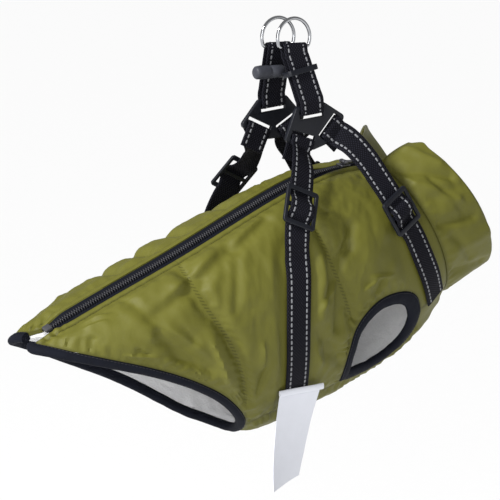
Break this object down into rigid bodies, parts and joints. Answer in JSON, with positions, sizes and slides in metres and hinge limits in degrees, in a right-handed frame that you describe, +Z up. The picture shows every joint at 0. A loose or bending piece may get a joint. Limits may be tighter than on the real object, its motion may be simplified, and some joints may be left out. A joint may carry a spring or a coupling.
{
  "type": "dog winter coat with built-in harness",
  "caption": "Padded olive dog coat with a fleece lining, back zip, stand collar, bound hem and armholes, and a black webbing harness held by its D-rings.",
  "frame": {"origin": "top of the two D-rings, where a hand or lead holds the coat", "axes": "+X towards the neck, +Y towards the coat's left side, +Z up"},
  "size_m": [0.4947, 0.1512, 0.4116],
  "materials": {
    "shell_nylon": "soft woven polyester shell with a slight sheen",
    "fleece": "brushed fleece",
    "binding_tape": "matt woven tape",
    "webbing": "woven webbing with reflective stitching",
    "black_plastic": "moulded, satin",
    "grey_plastic": "moulded, satin",
    "coil_plastic": "nylon coil",
    "zip_metal": "dark plated",
    "chrome_wire": "polished",
    "satin_label": "white satin tape"
  },
  "bodies": {
    "garment": {"right_panel": "shell_nylon", "left_panel": "shell_nylon", "belly_panel": "shell_nylon", "collar": "shell_nylon", "lining_right": "fleece", "lining_left": "fleece", "lining_belly": "fleece", "hem_binding": "binding_tape", "armhole_binding_right": "binding_tape", "armhole_binding_left": "binding_tape", "zip_tape_right": "binding_tape", "zip_tape_left": "binding_tape", "lead_strap_right": "webbing", "lead_strap_left": "webbing", "girth_strap_right": "webbing", "girth_strap_left": "webbing", "chest_strap_right": "webbing", "chest_strap_left": "webbing", "plate_right": "black_plastic", "plate_left": "black_plastic", "keeper_right": "black_plastic", "keeper_left": "black_plastic", "adjuster_girth_right": "black_plastic", "adjuster_girth_left": "black_plastic", "adjuster_chest_right": "black_plastic", "adjuster_chest_left": "black_plastic", "clasp_barrel": "grey_plastic", "zip_coil": "coil_plastic", "zip_slider": "zip_metal", "zip_pull_seat": "zip_metal", "zip_end_box": "zip_metal", "care_label": "satin_label"},
    "right_d_ring": {"ring_right": "chrome_wire"},
    "left_d_ring": {"ring_left": "chrome_wire"},
    "pull_tab": {"zip_pull": "zip_metal"}
  },
  "joints": [
    {"name": "right_ring_swing", "type": "hinge", "parent": "garment", "child": "right_d_ring", "pos_m": [0.004, -0.008, -0.0268], "axis": [1, 0, 0], "range_deg": [-6, 100]},
    {"name": "left_ring_swing", "type": "hinge", "parent": "garment", "child": "left_d_ring", "pos_m": [-0.002, 0.008, -0.0268], "axis": [-1, 0, 0], "range_deg": [-6, 100]},
    {"name": "pull_tab_swing", "type": "hinge", "parent": "garment", "child": "pull_tab", "pos_m": [0.06093, -0.00692, -0.13446], "axis": [0.0818, -0.9873, -0.1364], "range_deg": [0, 140]}
  ]
}
